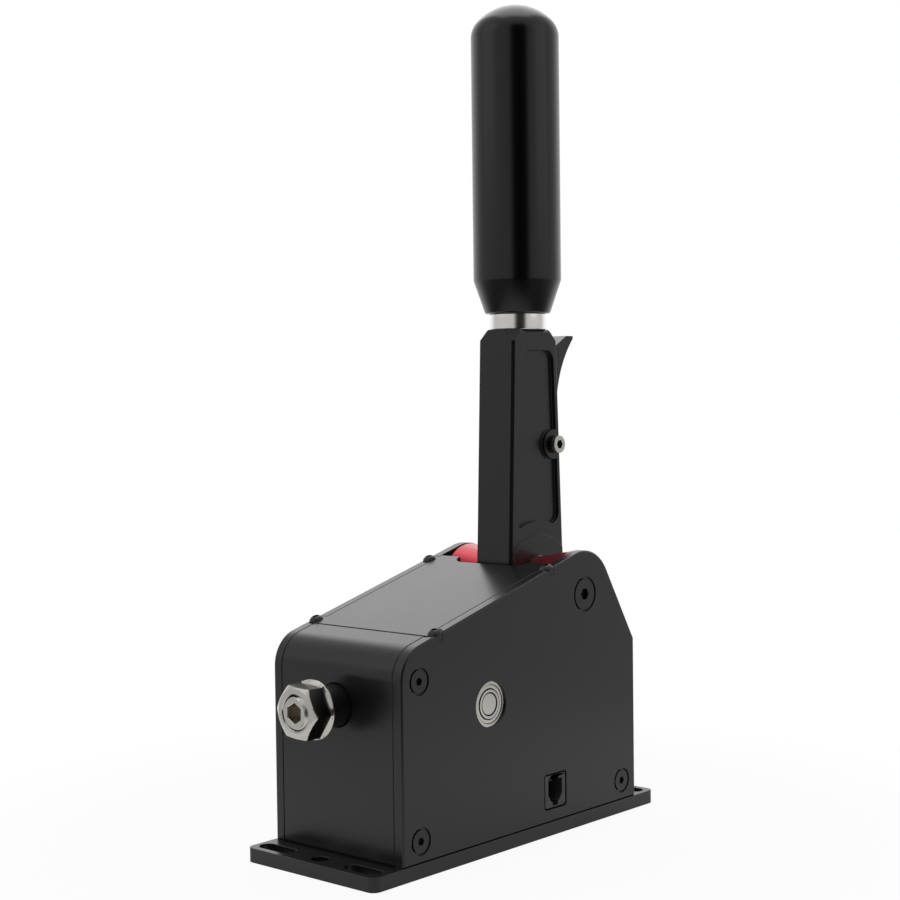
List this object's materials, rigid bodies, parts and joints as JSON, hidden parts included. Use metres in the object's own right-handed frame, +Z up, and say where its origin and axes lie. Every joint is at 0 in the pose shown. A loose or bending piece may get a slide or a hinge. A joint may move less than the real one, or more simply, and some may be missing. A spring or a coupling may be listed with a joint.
{
  "type": "simulator pull lever",
  "caption": "Upright pull lever with a round grip and finger trigger on a closed metal housing, with a preload adjuster, side data socket and slotted base plate for a racing simulator.",
  "frame": {"origin": "centre of the base plate's underside", "axes": "+Z up along the lever at rest, -X towards the adjuster and the way the lever is pulled, -Y towards the side with the data socket"},
  "size_m": [0.1612, 0.0618, 0.3042],
  "materials": {
    "black_anodised": "satin black anodised",
    "grip_black": "fine satin black anodised",
    "black_steel": "black oxide",
    "bright_steel": "plain bright",
    "bright_aluminium": "turned bright",
    "red_anodised": "red anodised",
    "bronze": "sintered",
    "black_plastic": "moulded",
    "gold_contacts": "plated",
    "board_green": "solder mask"
  },
  "bodies": {
    "housing": {"base_plate": "black_anodised", "right_side_plate": "black_anodised", "left_side_plate": "black_anodised", "front_block": "black_anodised", "rear_block": "black_anodised", "top_cover": "black_anodised", "rear_cover": "black_anodised", "cover_screws": "black_steel", "rear_cover_screws": "black_steel", "side_plate_screws": "black_steel", "base_screws": "black_steel", "pivot_axle": "bright_steel", "pivot_screws": "black_steel", "right_pivot_spacer": "red_anodised", "left_pivot_spacer": "red_anodised", "lever_bearing_inner_rings": "bright_steel", "lever_bearing_balls": "bright_steel", "side_bearing_outer_rings": "bright_steel", "side_bearing_shields": "bright_steel", "adjuster_bush": "black_steel", "lock_nut": "bright_steel", "data_jack": "black_plastic", "jack_contacts": "gold_contacts", "circuit_board": "board_green", "board_spacers": "bright_steel", "board_screws": "bright_steel", "hall_sensor": "black_plastic"},
    "adjuster": {"adjuster_screw": "bright_steel"},
    "trunnion": {"trunnion_block": "black_anodised", "trunnion_pins": "bright_steel", "trunnion_bush": "bronze", "side_bearing_inner_rings": "bright_steel", "side_bearing_balls": "bright_steel", "return_spring": "bright_steel"},
    "rod": {"pull_rod": "bright_steel", "rod_clevis": "black_anodised", "clevis_nut": "bright_steel", "spring_seat": "black_anodised", "seat_nut": "bright_steel"},
    "lever": {"lever": "black_anodised", "lever_bearing_outer_rings": "bright_steel", "link_pin": "bright_steel", "link_pin_clips": "bright_steel", "sensor_magnet": "bright_steel", "grip_stud": "bright_steel", "grip_collar": "bright_aluminium", "grip": "grip_black", "trigger_screw": "bright_steel", "trigger_washer": "black_steel", "trigger_bush": "bronze", "trigger_switch": "black_plastic", "trigger_spring": "bright_steel"},
    "trigger": {"trigger": "black_anodised"}
  },
  "joints": [
    {"name": "lever_pull", "type": "hinge", "parent": "housing", "child": "lever", "pos_m": [0.035, 0, 0.0852], "axis": [0, -1, 0], "range_deg": [0, 14], "stiffness_Nm_per_rad": 30, "springref_deg": -6.88},
    {"name": "trigger_squeeze", "type": "hinge", "parent": "lever", "child": "trigger", "pos_m": [0.0453, 0, 0.1397], "axis": [0, -1, 0], "range_deg": [0, 6], "stiffness_Nm_per_rad": 0.8, "springref_deg": -11.46, "deforming": ["trigger_spring"]},
    {"name": "trunnion_swing", "type": "hinge", "parent": "housing", "child": "trunnion", "pos_m": [-0.019, 0, 0.0524], "axis": [0, -1, 0], "range_deg": [0, 1.77]},
    {"name": "rod_pull", "type": "slide", "parent": "trunnion", "child": "rod", "axis": [0.9962, 0, -0.0867], "range_m": [0, 0.00902], "deforming": ["return_spring"]},
    {"name": "adjuster_travel", "type": "slide", "parent": "housing", "child": "adjuster", "axis": [-1, 0, 0], "range_m": [0, 0.0035]}
  ],
  "couplings": [
    {"joint": "trunnion_swing", "follows": "lever_pull", "ratio": 0.12287},
    {"joint": "rod_pull", "follows": "lever_pull", "m_per_rad": 0.036709}
  ]
}
